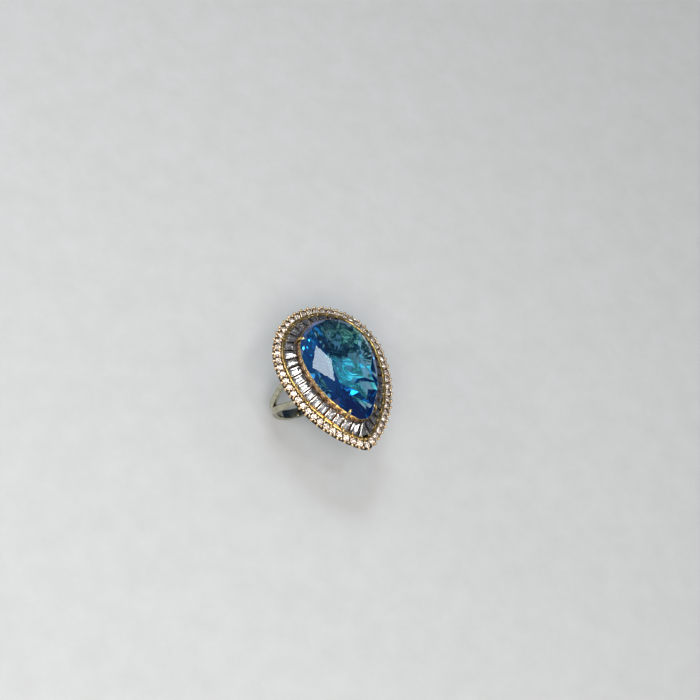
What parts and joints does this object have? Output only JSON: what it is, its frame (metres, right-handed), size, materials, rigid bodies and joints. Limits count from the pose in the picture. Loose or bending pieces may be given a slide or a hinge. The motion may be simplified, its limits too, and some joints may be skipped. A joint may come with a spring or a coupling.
{
  "type": "cocktail ring",
  "caption": "Pear-cut centre stone in claws over a tray of tapered baguettes and a round-stone halo, on an open scroll gallery and a split shank.",
  "frame": {"origin": "centre of the finger hole, midway along the shank's width", "axes": "+Y along the finger towards the head's round end, +Z from the finger to the face of the ring, +X across the hand"},
  "size_m": [0.0322, 0.0419, 0.0354],
  "materials": {
    "shank_gold": "polished pale gold plate",
    "antique_gold": "gold plate with dark oxidised recesses",
    "copper_gold": "polished rose gold plate",
    "bright_gold": "polished yellow gold plate",
    "blue_stone": "faceted, clear cobalt to aqua blue",
    "white_stone": "faceted, colourless"
  },
  "bodies": {
    "root": {"split_shank": "shank_gold", "base_rail": "antique_gold", "scroll_plate": "antique_gold", "gallery_struts": "antique_gold", "baguette_tray": "antique_gold", "inner_wall": "copper_gold", "outer_rail": "bright_gold", "seat_collar": "bright_gold", "centre_stone": "blue_stone", "claw_tip_right": "bright_gold", "claw_head_right": "bright_gold", "claw_head_left": "bright_gold", "claw_tip_left": "bright_gold", "baguettes_tip": "white_stone", "baguettes_right": "white_stone", "baguettes_round_end": "white_stone", "baguettes_left": "white_stone", "halo_band": "antique_gold", "halo_stones_tip": "white_stone", "halo_stones_right": "white_stone", "halo_stones_round_end": "white_stone", "halo_stones_left": "white_stone", "halo_prongs_inner": "bright_gold", "halo_prongs_outer": "bright_gold", "halo_edge_beads": "bright_gold"}
  },
  "joints": []
}
